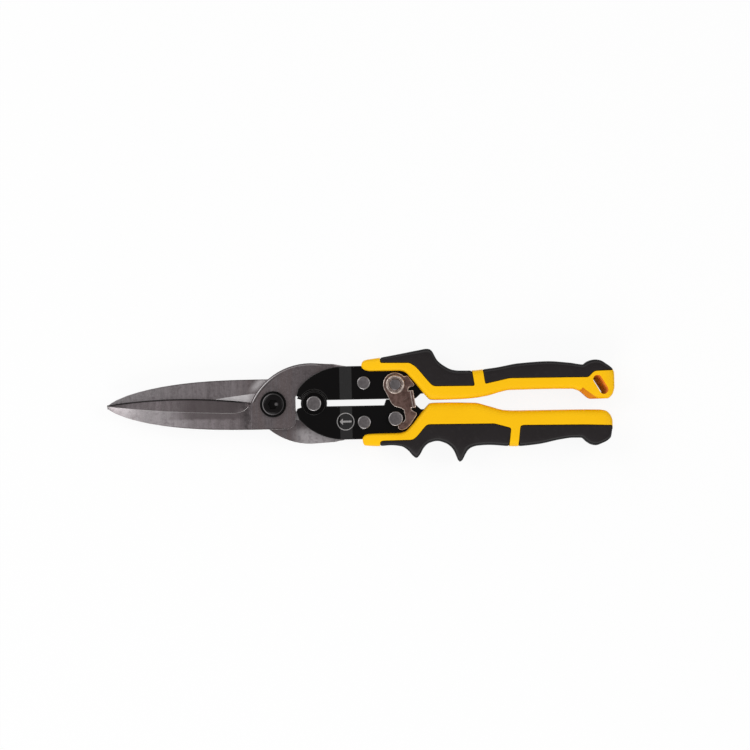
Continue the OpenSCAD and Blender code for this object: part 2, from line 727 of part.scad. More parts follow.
// Sloped face on the inner corner of the end lobe, on both sides
slope_from = [upper_end - 18.5, 6.8];
slope_to = [upper_end - 9.5, -0.4];
slope_turn = 35;
module lobe_slope() both_sides() {
    run = slope_to - slope_from;
    at(slope_from, grip_t / 2) rotate(atan2(run.y, run.x)) rotate([slope_turn, 0, 0])
        translate([0, -grip_t, 0]) cube([norm(run), grip_t, grip_t]);
}

module upper_grip_core() color("gold") shifted() difference() {
    upper_form();
    lobe_slope();
    difference() {
        linear_extrude(big, center = true) {
            polygon(upper_front_zone);
            polygon(upper_rear_zone);
        }
        upper_form(pad_t + seat_gap);
    }
    tang_pocket();
    lanyard_slot();
}

module upper_pad(points) intersection() {
    upper_form();
    difference() {
        zone(points);
        upper_form(pad_t);
    }
}

module upper_front_pad() color("darkslategray") shifted() upper_pad(upper_front_zone);

module upper_rear_pad() color("darkslategray") shifted() upper_pad(upper_rear_zone);

module lower_grip_core() color("gold") shifted() difference() {
    lower_form();
    difference() {
        linear_extrude(big, center = true) {
            polygon(lower_front_zone);
            polygon(lower_rear_zone);
        }
        lower_form(pad_t + seat_gap);
    }
    mirror([0, 1, 0]) tang_pocket();
}

module lower_pad(points) intersection() {
    lower_form();
    difference() {
        zone(points);
        lower_form(pad_t);
    }
}

module lower_front_pad() color("darkslategray") shifted() lower_pad(lower_front_zone);

module lower_rear_pad() color("darkslategray") shifted() lower_pad(lower_rear_zone);

front_blade();
rear_blade();
pivot_bolt();
pivot_nut();
upper_channel();
lower_channel();
hub_rivet();
hub_washers();
hub_spacer();
handle_spring();
upper_tail_rivet();
lower_tail_rivet();
latch();
latch_rivet();
latch_washer();
latch_spacer();
keeper_pin();
keeper_spacer();
upper_grip_core();
upper_front_pad();
upper_rear_pad();
lower_grip_core();
lower_front_pad();
lower_rear_pad();
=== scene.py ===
import json
import math

import bmesh
import bpy
from mathutils import Matrix, Vector
from mathutils.bvhtree import BVHTree


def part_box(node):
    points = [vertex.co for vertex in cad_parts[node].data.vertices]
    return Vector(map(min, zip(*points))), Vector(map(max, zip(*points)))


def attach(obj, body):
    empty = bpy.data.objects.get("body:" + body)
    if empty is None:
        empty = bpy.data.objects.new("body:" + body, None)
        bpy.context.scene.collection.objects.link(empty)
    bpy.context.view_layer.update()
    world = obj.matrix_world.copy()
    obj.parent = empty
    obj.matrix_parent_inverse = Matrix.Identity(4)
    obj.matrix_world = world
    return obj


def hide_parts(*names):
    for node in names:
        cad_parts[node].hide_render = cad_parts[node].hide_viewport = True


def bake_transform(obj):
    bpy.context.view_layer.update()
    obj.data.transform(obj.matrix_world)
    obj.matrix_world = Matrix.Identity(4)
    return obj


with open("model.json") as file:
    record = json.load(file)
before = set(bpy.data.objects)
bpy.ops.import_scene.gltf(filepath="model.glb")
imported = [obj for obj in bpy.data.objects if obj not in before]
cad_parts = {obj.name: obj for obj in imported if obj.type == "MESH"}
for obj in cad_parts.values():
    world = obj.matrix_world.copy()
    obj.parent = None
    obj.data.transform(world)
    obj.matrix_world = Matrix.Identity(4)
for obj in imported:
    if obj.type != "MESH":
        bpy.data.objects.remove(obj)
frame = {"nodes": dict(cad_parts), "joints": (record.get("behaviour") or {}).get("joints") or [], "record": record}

# Long-pattern aviation snips, seen from straight above.
# Sizes are in millimetres from the pivot bolt's centre.
nodes = frame["nodes"]
bodies = frame["record"]["behaviour"]["bodies"]
bodyOf = {node: body for body, held in bodies.items() for node in held}
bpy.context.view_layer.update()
mm = 0.001
sliver = 0.02 * mm  # points nearer than this are merged
hair = 0.002 * mm  # and on a copy of a solid, nearer than this
flatAngle = math.radians(0.3)  # faces of a copy that meet flatter than this are joined


def middle(node):
    low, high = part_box(node)
    return (low + high) / 2


jointAt = {joint["name"]: Vector(joint["pos_m"]) for joint in frame["joints"]}
pivot = Vector((middle("pivot_bolt").x, middle("pivot_bolt").y, jointAt["handle_swing"].z))


def place(x, y, z=0.0):
    return pivot + Vector((x, y, z)) * mm


def spot(point):
    return (point - pivot) / mm  # row frame back to millimetres from the pivot


print("frame loaded:", len(nodes), "nodes")


# Shader maths: expressions on sockets

class Sock:
    def __init__(self, paint, socket):
        self.paint = paint
        self.socket = socket

    def maths(self, operation, *others, swap=False):
        terms = [self, *others]
        if swap:
            terms.reverse()
        return self.paint.add("ShaderNodeMath", {"operation": operation}, dict(enumerate(terms)))

    def __add__(self, other):
        return self.maths("ADD", other)

    def __sub__(self, other):
        return self.maths("SUBTRACT", other)

    def __rsub__(self, other):
        return self.maths("SUBTRACT", other, swap=True)

    def __mul__(self, other):
        return self.maths("MULTIPLY", other)

    def __truediv__(self, other):
        return self.maths("DIVIDE", other)

    def __pow__(self, other):
        return self.maths("POWER", other)

    def __abs__(self):
        return self.maths("ABSOLUTE")

    __radd__ = __add__
    __rmul__ = __mul__

    def most(self, other):
        return self.maths("MAXIMUM", other)

    def ease(self, low, high):
        # 0 to 1 from the first value to the second, whichever is the larger
        values = {0: self, 1: low, 2: high, 3: 0.0, 4: 1.0}
        return self.paint.add("ShaderNodeMapRange", {"interpolation_type": "SMOOTHSTEP"}, values)

    def between(self, rise, fall):
        # 1 on a band, given where it rises and where it falls
        return self.ease(*rise) * self.ease(*fall)


class Paint:
    def __init__(self, holder):
        holder.use_nodes = True
        self.holder = holder
        self.tree = holder.node_tree

    def add(self, kind, settings=None, values=None, out=0):
        node = self.tree.nodes.new(kind)
        for name, value in (settings or {}).items():
            setattr(node, name, value)
        for key, value in (values or {}).items():
            self.feed(node.inputs[key], value)
        return Sock(self, node.outputs[out])

    def feed(self, socket, value):
        if isinstance(value, Sock):
            self.tree.links.new(value.socket, socket)
        else:
            socket.default_value = value

    def spread(self, stretch=(1, 1, 1), centre=(0, 0, 0), turn=0.0):
        # millimetres from the pivot, moved to a centre, turned and stretched
        seat = self.add("ShaderNodeTexCoord", out="Object")
        shift = tuple(-(pivot / mm + Vector(centre)))
        local = self.add("ShaderNodeMapping", {}, {"Vector": seat, "Location": shift, "Scale": (1 / mm,) * 3})
        turned = self.add("ShaderNodeMapping", {}, {"Vector": local, "Rotation": (0, 0, turn)})
        return self.add("ShaderNodeMapping", {}, {"Vector": turned, "Scale": stretch})

    def axes(self, centre=(0, 0, 0), turn=0.0):
        vector = self.spread(centre=centre, turn=turn)
        return [self.add("ShaderNodeSeparateXYZ", {}, {0: vector}, out=i) for i in range(3)]

    def facing(self, axis):
        normal = self.add("ShaderNodeTexCoord", out="Normal")
        return self.add("ShaderNodeSeparateXYZ", {}, {0: normal}, out=axis)

    def steepness(self):
        # 0 on faces that lie flat, 1 on the sides
        return 1 - abs(self.facing(2))

    def noise(self, scale, detail, stretch=(1, 1, 1), turn=0.0):
        vector = self.spread(stretch, turn=turn)
        values = {"Vector": vector, "Scale": scale, "Detail": detail, "Roughness": 0.55}
        return self.add("ShaderNodeTexNoise", {}, values)

    def patterns(self, look, *names):
        # a look's own noises: scale, detail, and then how each is stretched and turned
        return [self.noise(*look[name]) for name in names]

    def specks(self, scale):
        return self.add("ShaderNodeTexVoronoi", {}, {"Vector": self.spread(), "Scale": scale})

    def mix(self, share, first, second):
        values = {0: share, 6: colour(first), 7: colour(second)}
        return self.add("ShaderNodeMix", {"data_type": "RGBA"}, values, out=2)

    def coats(self, tone, look, layers):
        # colours laid one over another, each as far as its mask lets it show
        for mask, coat in layers:
            tone = self.mix(mask, tone, look[coat])
        return tone

    def finish(self, tone, rough, metal, bump, depth, gloss=0.5):
        relief = {"Strength": 1.0, "Distance": depth * mm, "Height": bump}
        values = {
            "Base Color": colour(tone), "Roughness": rough, "Metallic": metal, "Specular IOR Level": gloss,
            "Normal": self.add("ShaderNodeBump", {}, relief),
        }
        for name, value in values.items():
            self.feed(self.tree.nodes["Principled BSDF"].inputs[name], value)
        return self.holder


def paint(name):
    return Paint(bpy.data.materials.new(name))


def colour(tone):
    return tone if isinstance(tone, Sock) else (*tone, 1.0)


# Finishes

def jawLines(look, x, across, z):
    # painted shadow along the cutting edge, on the outer face
    share = (x + look["jawRoot"]) / (look["jawRoot"] - look["jawLength"])
    along = share * 2 - 1
    toEdge = look["edgeLap"] + look["edgeRise"] * (1 - along * along) - across
    edgeShadow = toEdge.ease(*look["lineFade"]) * x.ease(*look["lineAlong"]) * abs(z).ease(*look["lineFace"])
    # painted shade along the outer edge of the jaw and heel
    margin = look["jawDepth"] * (1 - share ** look["jawTaper"]) ** (1 / look["jawBelly"]) + across
    outerEdgeShade = margin.ease(*look["outlineFade"]) * x.ease(*look["outlineAlong"])
    return edgeShadow, outerEdgeShade


def arcDepth(look, x, across):
    # millimetres inside the arc round the front of a blade's body
    run = x - look["arcAt"][0]
    rise = across - look["arcAt"][1]
    return look["arcRadius"] - (run * run + rise * rise) ** 0.5


def arcLines(look, x, across, z):
    # the chamfer round that arc: painted shade at its outer edge, then a painted highlight line, brighter towards
    # the front, and a painted shade line inside it
    rim = arcDepth(look, x, across)
    onArc = abs(z).ease(*look["arcFace"]) * across.ease(*look["arcSide"]) * x.ease(*look["arcRunOut"])
    arcEdgeShade = onArc * rim.ease(*look["arcEdgeShadeRim"])
    bright = onArc * rim.between(*look["brightRim"]) * (0.3 + 0.7 * x.ease(*look["brightAlong"]))
    inner = onArc * rim.between(*look["innerRim"]) * x.ease(*look["innerAlong"])
    return arcEdgeShade, bright, inner


def rubbedAndHighlit(look, x, y, z, across, mottle):
    # the rubbed flat is wear; the tail and the inner face get painted highlights
    # flat rubbed by the other blade, up to the slanted end of the hollow
    slant = abs(y) - look["rubbedHalf"] - (x + look["rubbedFrom"]) * look["rubbedSlope"]
    rubbed = abs(z).ease(*look["rubbedFace"]) * slant.ease(*look["rubbedFade"])
    # painted highlight on the rear blade's tail, below the front one
    tail = y.ease(*look["tailAcross"]) * x.ease(*look["tailAlong"]) * z.ease(*look["tailFace"])
    # painted highlight on the inner face, beside the other blade's arc
    beside = arcDepth(look, x, across * -1).between(*look["glintRim"]) * across.ease(*look["glintAcross"])
    glint = beside * abs(z).ease(*look["innerFace"])
    return rubbed, tail * mottle.ease(0.1, 0.5), glint * mottle.ease(0.15, 0.5)


def groundSteel(name, look):
    p = paint(name)
    x, y, z = p.axes()
    side = z.ease(*look["middle"]) * 2 - 1  # the back half is the front one turned over
    across = y * side
    lean = p.facing(1) * side
    marks, bands, mottle, grain = p.patterns(look, "marks", "bands", "mottle", "grain")
    body = x.ease(*look["body"])
    land = lean.ease(*look["landLean"]) * (1 - body)  # falls to the cutting edge
    spine = lean.ease(*look["spineLean"]) * (1 - body)
    # painted shade on the spine's facet at the very tip
    spineEnd = spine * x.ease(*look["spineEnd"])
    root = x.between(*look["rootAlong"]) * abs(z).ease(*look["rootFace"]) * mottle.ease(0.25, 0.6)
    tip = x.ease(*look["tip"]) * (1 - land)
    insidePale = abs(z).ease(*look["innerFace"]) * x.ease(*look["innerPale"])
    edgeShadow, outerEdgeShade = jawLines(look, x, across, z)
    arcEdgeShade, bright, inner = arcLines(look, x, across, z)
    rubbed, tailHighlight, glint = rubbedAndHighlit(look, x, y, z, across, mottle)
    # painted shade below the ridge
    ridgeShadeEdge = abs(y) - look["ridgeShadeHalf"] + look["ridgeShadeWander"] * (mottle - 0.5)
    ridgeShade = ridgeShadeEdge.ease(*look["ridgeShadeFade"]) * x.ease(*look["ridgeShadeAlong"]) * z.ease(*look["ridgeShadeFace"]) * (1 - body)
    tone = p.mix((marks * 0.3 + bands * 0.4 + mottle * 0.3).ease(0.32, 0.66), look["dark"], look["light"])
    tone = p.coats(tone, look, [
        (body * bands.ease(0.4, 0.62) * 0.7, "warm"),
        # the body darker towards the handles, and painted shade on the land, chosen by the way it faces
        ((body * (0.34 + 0.3 * x.ease(*look["bodyShade"]))).most(land * 0.5), "shade"),
        # painted shade on the spine's facet towards the root
        (spine * x.ease(*look["spineShade"]) * 0.58, "shade"),
        # painted highlight on the spine's facet towards the tip, and the inner face paler towards the tip
        ((spine * x.ease(*look["spineHighlight"]) * 0.42).most(insidePale * 0.25), "pale"),
        # painted highlight on the rear blade's tail
        (tailHighlight * 0.8, "pale"),
        (grain.ease(0.42, 0.7) * (0.14 + 0.6 * tip), "pale"),
        (mottle.ease(0.5, 0.72) * 0.5, "shade"),
        # painted shade below the ridge and at the very tip of the spine's facet
        ((ridgeShade * 0.75).most(spineEnd * 0.55), "shade"),
        # the rubbed flat, a painted highlight beside the other blade's arc, and the arc's painted highlight line
        ((rubbed * (0.6 + 0.5 * mottle)).most(glint * 0.75).most(bright), "flat"),
        # painted shade along the jaw's outer edge and on both sides of the arc's highlight line
        ((outerEdgeShade * 0.55).most(arcEdgeShade * 0.8).most(inner * 0.7), "outline"),
        # painted shadow along the cutting edge, and darker at the jaw's root
        ((edgeShadow * 0.92).most(root * 0.6), "line"),
    ])
    rough = look["rough"] + 0.12 * mottle + 0.08 * grain + 0.16 * rubbed.most(tailHighlight).most(glint)
    return p.finish(tone, rough, 1.0, 0.5 * marks + 0.5 * grain, look["depth"])


def headRing(p, tone, look):
    # a painted highlight ring on the bolt's head, brighter on its left, a painted glint in its socket and a darker
    # rim
    x, y, z = p.axes()
    out = (x * x + y * y) ** 0.5 - look["ring"]
    ring = out.between((-look["ringHalf"], 0), (look["ringHalf"], 0))
    aside = x - look["socketAt"]
    socket = (aside * aside + y * y).ease(*look["socketFade"])
    return p.coats(tone, look, [
        ((ring * (0.25 + 0.75 * x.ease(*look["ringAlong"]))).most(socket), "ringHighlight"),
        (out.ease(*look["rimFrom"]), "rim"),
    ])


def blackOxide(name, look):
    p = paint(name)
    grain, cloud, streak = p.patterns(look, "grain", "cloud", "scuff")
    scuff = streak.ease(0.6, 0.75)
    tone = p.mix(cloud, look["dark"], look["light"])
    tone = p.mix(scuff * 0.35, tone, look["worn"])
    if "ring" in look:
        tone = headRing(p, tone, look)
    rough = look["rough"] + 0.12 * grain - 0.06 * scuff
    return p.finish(tone, rough, 0.0, grain, look["depth"], look["gloss"])


def rivetSteel(name, look, centre, headRadius):
    p = paint(name)
    x, y, z = p.axes(centre)
    out = (x * x + y * y) ** 0.5 / headRadius
    grain, mottle = p.patterns(look, "grain", "mottle")
    rim = out.between(*look["rim"])
    tone = p.mix(mottle, look["dark"], look["light"])
    tone = p.mix(rim * 0.6, tone, look["pale"])
    rough = look["rough"] + 0.16 * mottle
    return p.finish(tone, rough, 1.0, grain * 0.5 + mottle * 0.5, look["depth"])


def agedBronze(name, look):
    p = paint(name)
    mottle, grain, scratch = p.patterns(look, "mottle", "grain", "scratch")
    tone = p.mix(mottle.ease(0.3, 0.7), look["dark"], look["light"])
    tone = p.mix(scratch.ease(0.58, 0.72) * 0.4, tone, look["worn"])
    rough = look["rough"] + 0.18 * grain
    return p.finish(tone, rough, look["metal"], grain * 0.7 + mottle * 0.3, look["depth"])


# lighter worn edges on the rounded edges, which also stand as painted highlights along them
def wornEdgeAndHighlight(name, look):
    p = paint(name)
    grain = p.noise(*look["grain"])
    tone = p.mix(grain.ease(0.3, 0.7), look["worn"], look["edge"])
    return p.finish(tone, look["rough"] + 0.2 * grain, look["metal"], grain, look["depth"])


def drawnWire(name, look):
    p = paint(name)
    streak = p.noise(*look["streak"])
    tone = p.mix(streak, look["dark"], look["light"])
    return p.finish(tone, look["rough"] + 0.2 * streak, 1.0, streak, look["depth"])


def slotWalls(p, slot):
    # painted shade on the slot's walls, and how deep in it they are
    along, over, z = p.axes(slot["at"], math.radians(-slot["slant"]))
    fade = slot["fade"]
    beside = abs(over).ease(slot["wide"], slot["wide"] - fade)
    within = abs(along).ease(slot["long"], slot["long"] - fade)
    return beside * within * p.steepness().ease(0.3, 0.7), z.ease(*slot["deep"])


def slopedCorner(p, slot):
    # painted shade on the sloped faces of the end lobe's inner corner
    run = Vector(slot["slopeTo"]) - Vector(slot["slopeFrom"])
    along, over, z = p.axes((*slot["slopeFrom"], 0), -math.atan2(run.y, run.x))
    ended = along.between(slot["slopeStart"], [run.length + past for past in slot["slopeEnd"]])
    return over.ease(slot["fade"], -slot["fade"]) * ended * p.steepness().ease(0.05, 0.15)


def mouldedYellow(name, look, slot=None):
    p = paint(name)
    grain, cloud = p.patterns(look, "grain", "cloud")
    spark = p.specks(look["spark"])
    # painted shade, a deeper orange, on the steep sides
    side = p.steepness().ease(0.4, 0.9)
    rough = look["rough"] + 0.14 * grain
    tone = p.mix(cloud, look["deep"], look["bright"])
    tone = p.coats(tone, look, [(grain * 0.12, "pale"), (side * 0.4, "side")])
    if slot:
        inside, deep = slotWalls(p, slot)
        # painted shade on the slot's walls, made paler deeper in by painted light
        tone = p.mix(inside, tone, p.mix(deep, look["hollow"], look["hollowDeep"]))
        # painted shade on the lobe's sloped corner
        tone = p.mix(slopedCorner(p, slot), tone, look["slope"])
        rough = rough + 0.45 * inside
    return p.finish(tone, rough, 0.0, grain * 0.5 + spark * 0.5, look["depth"], look["gloss"])


def softRubber(name, look):
    p = paint(name)
    grain, cloud, dusting = p.patterns(look, "grain", "cloud", "dusting")
    pebble = p.specks(look["pebble"])
    steep = p.steepness()
    tone = p.mix(cloud, look["dark"], look["light"])
    tone = p.coats(tone, look, [
        (dusting.ease(0.5, 0.8) * 0.35, "dust"),
        # painted highlight along the shoulders, and painted shade on the steep sides
        (steep.between(*look["shoulder"]) * 0.8, "shine"),
        (steep.ease(*look["sideFrom"]), "side"),
    ])
    rough = look["rough"] + 0.2 * grain
    return p.finish(tone, rough, 0.0, grain * 0.4 + pebble * 0.6, look["depth"], look["gloss"])


def printedMark(name, look):
    p = paint(name)
    grain, chips = p.patterns(look, "grain", "chips")
    tone = p.mix(grain, look["light"], look["dark"])
    tone = p.mix(chips.ease(0.64, 0.72) * 0.8, tone, look["under"])
    return p.finish(tone, look["rough"] + 0.2 * grain, look["metal"], grain, look["depth"])


print("finishes ready")


# Making and softening meshes

def made(name, shape, materials, body=None):
    mesh = bpy.data.meshes.new(name)
    shape.to_mesh(mesh)
    shape.free()
    old = mesh.attributes.get("custom_normal")
    if old:
        mesh.attributes.remove(old)
    for material in materials:
        mesh.materials.append(material)
    piece = bpy.data.objects.new(name, mesh)
    bpy.context.scene.collection.objects.link(piece)
    if body:
        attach(piece, body)
    return piece


def edgeWear(edge, look):
    # how far an edge is rounded: on a blade not at all where one face flows into another, round the hollow,
    # along the cutting edge and on the arc's chamfer, and by a smaller share as far as the heel
    if math.degrees(edge.calc_face_angle(math.pi)) < look["angle"]:
        return 0.0
    if "keen" not in look:
        return 1.0
    a, b = [spot(vert.co) for vert in edge.verts]
    mid = (a + b) / 2
    if abs(a.y - b.y) > abs(a.x - b.x) and any(low < mid.x < high for low, high in look["plainBands"]):
        return 0.0
    across = math.copysign(mid.y, mid.y * mid.z)
    thin = max(abs(a.z), abs(b.z)) < look["keenRise"]
    if across > look["keenReach"] and thin and look["keen"][0] < mid.x < look["keen"][1]:
        return 0.0
    onRim = abs(look["arcRadius"] - math.dist((mid.x, across), look["arcAt"])) < look["arcNear"]
    if onRim and across > look["arcFrom"] and mid.x < look["arcEnd"] and abs(mid.z) > look["arcRise"]:
        return 0.0
    return look["fineShare"] if mid.x < look["fine"] else 1.0


def softened(node, look, materials):
    # a merged copy of a solid, with its edges rounded, worn, and lighter as a painted highlight
    shape = bmesh.new()
    shape.from_mesh(nodes[node].data)
    bmesh.ops.remove_doubles(shape, verts=shape.verts, dist=hair)
    bmesh.ops.dissolve_limit(shape, angle_limit=flatAngle, verts=shape.verts, edges=shape.edges)
    for face in shape.faces:
        face.smooth = True
        face.material_index = 0
    worn = shape.edges.layers.float.new("bevel_weight_edge")
    for edge in shape.edges:
        edge.smooth = edge.calc_face_angle(math.pi) < math.radians(look["crease"])
        edge[worn] = edgeWear(edge, look)
    piece = made(node + "_finished", shape, materials, bodyOf[node])
    bevel = piece.modifiers.new("roundedEdges", "BEVEL")
    bevel.width = look["width"] * mm
    bevel.segments = look["segments"]
    bevel.profile = 0.5
    bevel.limit_method = "WEIGHT"
    bevel.use_clamp_overlap = False
    bevel.harden_normals = True
    bevel.material = len(materials) - 1
    weld = piece.modifiers.new("mergedSlivers", "WELD")
    weld.merge_threshold = hair
    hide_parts(node)
    return piece


def loft(shape, rings):
    # a grid drawn over closed rings of equal counts, with its seam merged and its ends capped
    count = len(rings[0])
    grid = bmesh.ops.create_grid(shape, x_segments=count, y_segments=len(rings) - 1, size=1)["verts"]
    for i, vert in enumerate(grid):
        vert.co = rings[i // (count + 1)][i % (count + 1) % count]
    mergeSlivers(shape)
    bmesh.ops.holes_fill(shape, edges=shape.edges, sides=0)
    bmesh.ops.recalc_face_normals(shape, faces=shape.faces)


def mergeSlivers(shape):
    bmesh.ops.remove_doubles(shape, verts=shape.verts, dist=sliver)
    bmesh.ops.dissolve_degenerate(shape, edges=shape.edges, dist=hair)


def sharpEdges(shape, angle):
    return [e for e in shape.edges if len(e.link_faces) == 2 and e.calc_face_angle() > math.radians(angle)]


def clearSpares(shape):
    # points that no longer turn a corner between faces
    bmesh.ops.dissolve_verts(shape, verts=[vert for vert in shape.verts if len(vert.link_edges) == 2])


def smooth(shape, creases=()):
    for face in shape.faces:
        face.smooth = True
    for edge in creases:
        edge.smooth = False


# Steel pieces: the CAD solids, finished

steelLook = {
    "dark": (0.204, 0.176, 0.183), "light": (0.418, 0.368, 0.383), "warm": (0.26, 0.2, 0.196),
    "pale": (0.59, 0.558, 0.57), "flat": (0.72, 0.69, 0.7), "shade": (0.124, 0.103, 0.106),
    "outline": (0.07, 0.058, 0.06), "line": (0.02, 0.018, 0.018), "rough": 0.25, "depth": 0.014,
    "marks": (1.0, 4, (2.6, 0.18, 0.6)), "bands": (0.55, 3, (0.6, 0.05, 0.2)),  # grinding runs across a blade
    "mottle": (0.3, 5), "grain": (1.9, 3), "slot": "blade_steel",
    # the blade's own sizes
    "jawRoot": 13.0, "jawLength": 98.0, "jawDepth": 14.8, "jawTaper": 2.4, "jawBelly": 1.5,
    "edgeLap": 1.2, "edgeRise": 2.9, "arcAt": (22.0, -15.0), "arcRadius": 38.8,
    # how its edges are rounded
    "width": 0.25, "segments": 2, "angle": 24, "crease": 20, "plainBands": ((-19, -9), (25, 29)),
    "keen": (-93.0, -13.5), "keenRise": 1.3, "keenReach": -7.5, "fine": 30.0, "fineShare": 0.25,
    "arcEnd": 26.5, "arcRise": 2.6, "arcNear": 1.3, "arcFrom": 1.0,
    # where a tone starts and where it is full: along the blade, across it, and above its mid-plane
    "middle": (-0.015, 0.015), "body": (-24, -10), "bodyShade": (-2, 28), "tip": (-40, -96),
    "landLean": (0.15, 0.28),
    "spineLean": (-0.07, -0.16), "spineShade": (-62, -20), "spineHighlight": (-30, -75), "spineEnd": (-86, -92),
    "rootAlong": ((-21, -16), (-12.6, -13.6)), "rootFace": (0.5, 1.5),
    "lineFade": (1.2, 0.5), "lineAlong": (-15, -20), "lineFace": (0.3, 0.8),
    "outlineFade": (0.8, 0.3), "outlineAlong": (-84, -50),
    "arcFace": (2.6, 3.2), "arcSide": (0.5, 2.5), "arcRunOut": (30, 26), "arcEdgeShadeRim": (0.75, 0.5),
    "brightRim": ((0.5, 0.7), (1.4, 1.15)), "brightAlong": (8, -8),
    "innerRim": ((1.2, 1.45), (2.3, 1.8)), "innerAlong": (10, -6),
    "rubbedFace": (0.12, 0.05), "rubbedHalf": 3.9, "rubbedFrom": 33, "rubbedSlope": 0.12,
    "rubbedFade": (0.25, -0.25), "innerFace": (0.9, 0.6), "innerPale": (-30, -85),
    "glintRim": ((-6, -1.5), (2, 0)), "glintAcross": (-5, -11),
    "tailFace": (0.2, -0.1), "tailAcross": (-12, -17), "tailAlong": (8, 19),
    "ridgeShadeHalf": 7.2, "ridgeShadeWander": 2.4, "ridgeShadeFade": (1.9, 0.2), "ridgeShadeAlong": (-66, -46), "ridgeShadeFace": (0.5, 1.5),
}
steelEdgeLook = {
    "worn": (0.5, 0.48, 0.47), "edge": (0.75, 0.73, 0.72), "rough": 0.28, "metal": 0.95,
    "grain": (0.5, 2), "depth": 0.01,
}
plateLook = {
    "dark": (0.0009, 0.0006, 0.0007), "light": (0.0018, 0.0014, 0.0015), "worn": (0.01, 0.009, 0.009),
    "rough": 0.24, "depth": 0.005, "gloss": 0.16,
    "grain": (3.0, 3), "cloud": (0.12, 3), "scuff": (0.9, 4, (0.25, 1.6, 1), 0.5),
    "slot": "black_steel", "width": 0.25, "segments": 2, "angle": 32, "crease": 10,
}
plateEdgeLook = {
    **steelEdgeLook, "worn": (0.03, 0.028, 0.028), "edge": (0.075, 0.07, 0.07), "rough": 0.3, "metal": 0.5,
}
boltLook = {**plateLook, "gloss": 0.1, "rough": 0.26, "width": 0.15}
nutLook = {**boltLook, "width": 0.05}
boltHeadLook = {
    **boltLook, "dark": (0.004, 0.0034, 0.0036), "light": (0.008, 0.0068, 0.0072),
    "ring": 6.1, "ringHalf": 0.45, "ringAlong": (2, -5), "ringHighlight": (0.2, 0.188, 0.191),
    "rim": (0.0004, 0.0003, 0.0003), "rimFrom": (0.4, 0.7), "socketAt": 1.9, "socketFade": (1.6, 0.3),
}
latchLook = {
    "dark": (0.1, 0.057, 0.047), "light": (0.19, 0.115, 0.098), "worn": (0.31, 0.23, 0.2),
    "rough": 0.36, "metal": 0.8, "depth": 0.012,
    "mottle": (0.5, 4), "grain": (2.6, 3), "scratch": (1.0, 3, (2.4, 0.12, 1), 0.9),
    "slot": "latch_bronze", "width": 0.4, "segments": 2, "angle": 32, "crease": 28,
}
latchWasherLook = {**latchLook, "width": 0.22}
latchEdgeLook = {
    **steelEdgeLook, "worn": (0.42, 0.34, 0.3), "edge": (0.72, 0.62, 0.56), "rough": 0.3, "metal": 0.8,
}
rivetLook = {
    "dark": (0.15, 0.135, 0.138), "light": (0.28, 0.255, 0.26), "pale": (0.5, 0.48, 0.48),
    "rough": 0.27, "depth": 0.015, "grain": (1.6, 3), "mottle": (0.7, 4),
    "rim": ((0.8, 0.9), (1.02, 0.96)),  # as shares of the head's radius
}

steel = [groundSteel("groundSteel", steelLook), wornEdgeAndHighlight("steelEdge", steelEdgeLook)]
oxide = [blackOxide("plateOxide", plateLook), wornEdgeAndHighlight("plateEdge", plateEdgeLook)]
bolt = [blackOxide("boltOxide", boltLook), oxide[1]]
boltHead = [blackOxide("boltHeadOxide", boltHeadLook)]
bronze = [agedBronze("agedBronze", latchLook), wornEdgeAndHighlight("bronzeEdge", latchEdgeLook)]

for node in ("front_blade", "rear_blade"):
    softened(node, steelLook, steel)
for node in ("upper_channel", "lower_channel"):
    softened(node, plateLook, oxide)
softened("pivot_bolt", boltHeadLook, boltHead)
softened("pivot_nut", nutLook, bolt)
softened("hub_washers", boltLook, bolt)
softened("latch", latchLook, bronze)
softened("latch_washer", latchWasherLook, bronze)
for node in (
    "hub_rivet", "upper_tail_rivet", "lower_tail_rivet", "latch_rivet", "keeper_pin",
    "hub_spacer", "latch_spacer", "keeper_spacer",
):
    low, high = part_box(node)
    at = spot(middle(node))
    material = rivetSteel(node + "Steel", rivetLook, (at.x, at.y, 0), (high.x - low.x) / 2 / mm)
    nodes[node].data.materials.clear()
    nodes[node].data.materials.append(material)
print("steel pieces finished")


# Curves through set points, level at their peaks and dips

def span(points, x):
    i = 0
    while i < len(points) - 2 and x >= points[i + 1][0]:
        i += 1
    return i


def slope(points, i):
    (x0, y0), (x1, y1) = points[i], points[i + 1]
    return (y1 - y0) / (x1 - x0)


def tangent(points, i):
    if i == 0:
        return slope(points, 0)
    if i == len(points) - 1:
        return slope(points, i - 1)
    a, b = slope(points, i - 1), slope(points, i)
    return 0.0 if a * b <= 0 else 2 * a * b / (a + b)


def curveAt(points, x):
    i = span(points, x)
    (x0, y0), (x1, y1) = points[i], points[i + 1]
    w = x1 - x0
    t = (x - x0) / w
    return (
        (2 * t**3 - 3 * t**2 + 1) * y0 + (t**3 - 2 * t**2 + t) * w * tangent(points, i)
        + (3 * t**2 - 2 * t**3) * y1 + (t**3 - t**2) * w * tangent(points, i + 1)
    )


def lineAt(points, x):
    # straight runs, their corners eased over a millimetre each way
    shifts = (-1.0, -0.5, 0.0, 0.5, 1.0)
    total = 0.0
    for d in shifts:
        i = span(points, x + d)
        total += points[i][1] + slope(points, i) * (x + d - points[i][0])
    return total / len(shifts)


def power(value, exponent):
    return math.copysign(abs(value) ** exponent, value)


# Grips. Distances along a grip run from its nose and distances across it run outwards from the closing line,
# so that the lower grip is made as the upper one is and then mirrored.

